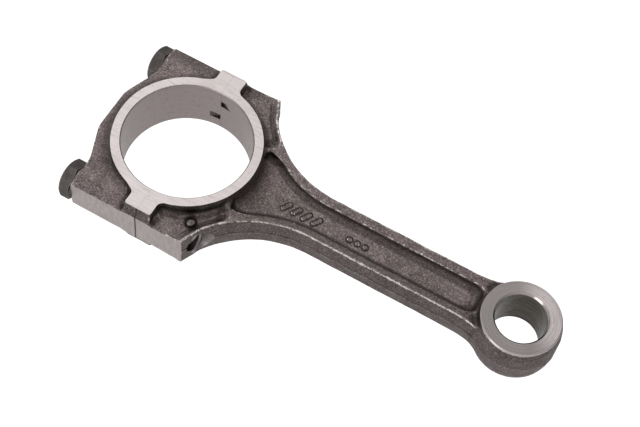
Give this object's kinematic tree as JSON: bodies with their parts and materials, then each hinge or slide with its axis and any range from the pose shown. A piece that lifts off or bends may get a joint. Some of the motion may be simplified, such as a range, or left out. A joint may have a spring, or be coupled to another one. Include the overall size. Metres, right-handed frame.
{
  "type": "connecting rod",
  "caption": "Forged engine connecting rod with a split big end, I-section beam, plain small end and a bearing cap held by hexagon-head bolts.",
  "frame": {"origin": "centre of the big-end bore, halfway through its thickness, on the joint between rod and cap", "axes": "+X runs from the big end to the small end, +Z is the axis of both bores, and the cap comes off along -X"},
  "size_m": [0.1763, 0.0694, 0.0216],
  "materials": {
    "forged_rod": "dark shot-blasted forging skin, with bright machined faces and bores",
    "forged_cap": "dark shot-blasted forging skin, with bright ground faces and bore",
    "bolt_steel": "black oxide over alloy steel"
  },
  "bodies": {
    "rod": {"rod_body": "forged_rod"},
    "cap": {"bearing_cap": "forged_cap"},
    "bolt_near": {"cap_bolt_near": "bolt_steel"},
    "bolt_far": {"cap_bolt_far": "bolt_steel"}
  },
  "joints": [
    {"name": "cap_slide", "type": "slide", "parent": "rod", "child": "cap", "axis": [-1, 0, 0], "range_m": [0, 0.018]},
    {"name": "bolt_near_turn", "type": "hinge", "parent": "cap", "child": "bolt_near", "pos_m": [-0.026, -0.0285, 0], "axis": [-1, 0, 0], "range_deg": [0, 6480]},
    {"name": "bolt_far_turn", "type": "hinge", "parent": "cap", "child": "bolt_far", "pos_m": [-0.026, 0.0285, 0], "axis": [-1, 0, 0], "range_deg": [0, 6480]}
  ],
  "couplings": [
    {"joint": "bolt_near_turn", "follows": "cap_slide", "rad_per_m": 6283.2},
    {"joint": "bolt_far_turn", "follows": "cap_slide", "rad_per_m": 6283.2}
  ]
}
